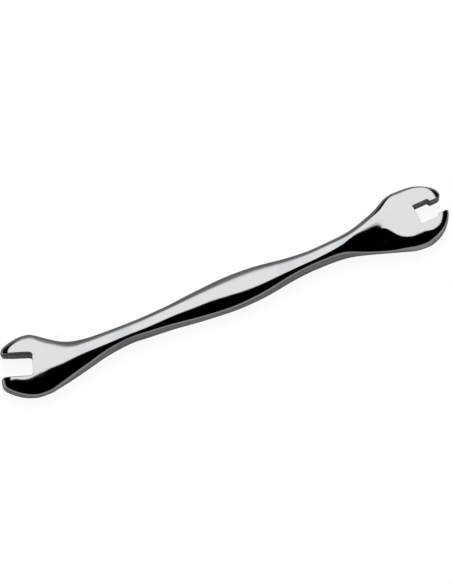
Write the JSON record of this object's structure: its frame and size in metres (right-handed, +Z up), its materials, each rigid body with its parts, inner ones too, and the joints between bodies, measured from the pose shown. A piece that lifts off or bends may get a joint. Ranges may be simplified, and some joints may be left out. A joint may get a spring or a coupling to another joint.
{
  "type": "spoke wrench",
  "caption": "Slim double-ended spoke wrench with a swelling oval handle, an open slot at one end and a narrow-mouthed four-sided pocket at the other.",
  "frame": {"origin": "under the middle of the wrench's box, at the height of the surface it lies on", "axes": "+X along the handle towards the pocket head, +Y across the handle in the plane of the heads towards the side that the slot opens to, +Z up out of the upper face"},
  "size_m": [0.13, 0.0204, 0.0053],
  "materials": {
    "plated_steel": "polished nickel-chrome plating over steel"
  },
  "bodies": {
    "root": {"wrench_body": "plated_steel"}
  },
  "joints": []
}
